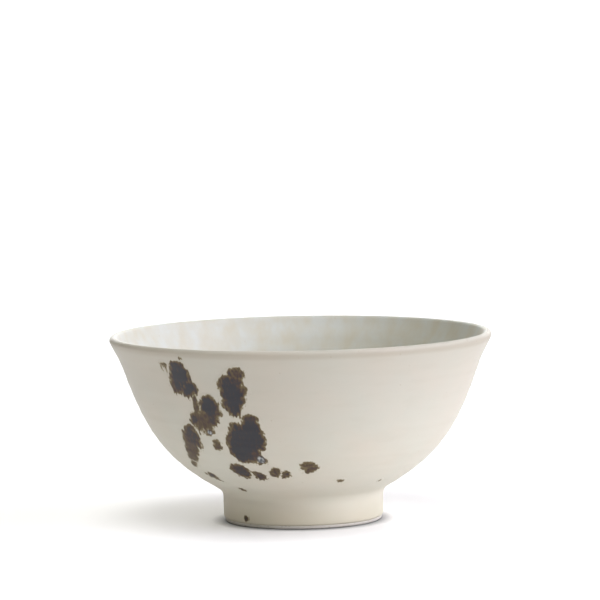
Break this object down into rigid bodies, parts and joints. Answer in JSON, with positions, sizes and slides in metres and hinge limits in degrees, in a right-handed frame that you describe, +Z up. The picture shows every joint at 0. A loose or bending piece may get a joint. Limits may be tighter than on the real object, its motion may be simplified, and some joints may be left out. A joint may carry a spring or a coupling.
{
  "type": "matcha bowl",
  "caption": "Footed tea bowl with a round belly, a rounded flared lip and a turned foot ring, in pale satin-matt glaze with dark iron splashes on one side.",
  "frame": {"origin": "on the table, at the centre of the foot ring", "axes": "+Z up along the bowl's axis of turning; the splashed side faces -Y, a little towards -X"},
  "size_m": [0.135, 0.135, 0.0663],
  "materials": {
    "stoneware": "bare fired stoneware",
    "slip": "bare fired slip",
    "matt_glaze": "satin-matt ivory glaze",
    "inner_glaze": "satin-matt mottled ivory glaze",
    "iron_glaze": "satin blue-black iron pools with brown edges",
    "iron_spot": "satin brown iron spots",
    "bead_glaze": "glossy bluish glaze beads"
  },
  "bodies": {
    "root": {"bowl_body": "stoneware", "foot_ring": "stoneware", "luting_slip": "slip", "outer_glaze": "matt_glaze", "inner_glaze": "inner_glaze", "foot_well_glaze": "matt_glaze", "iron_splashes": "iron_glaze", "iron_spots": "iron_spot", "glaze_beads": "bead_glaze"}
  },
  "joints": []
}
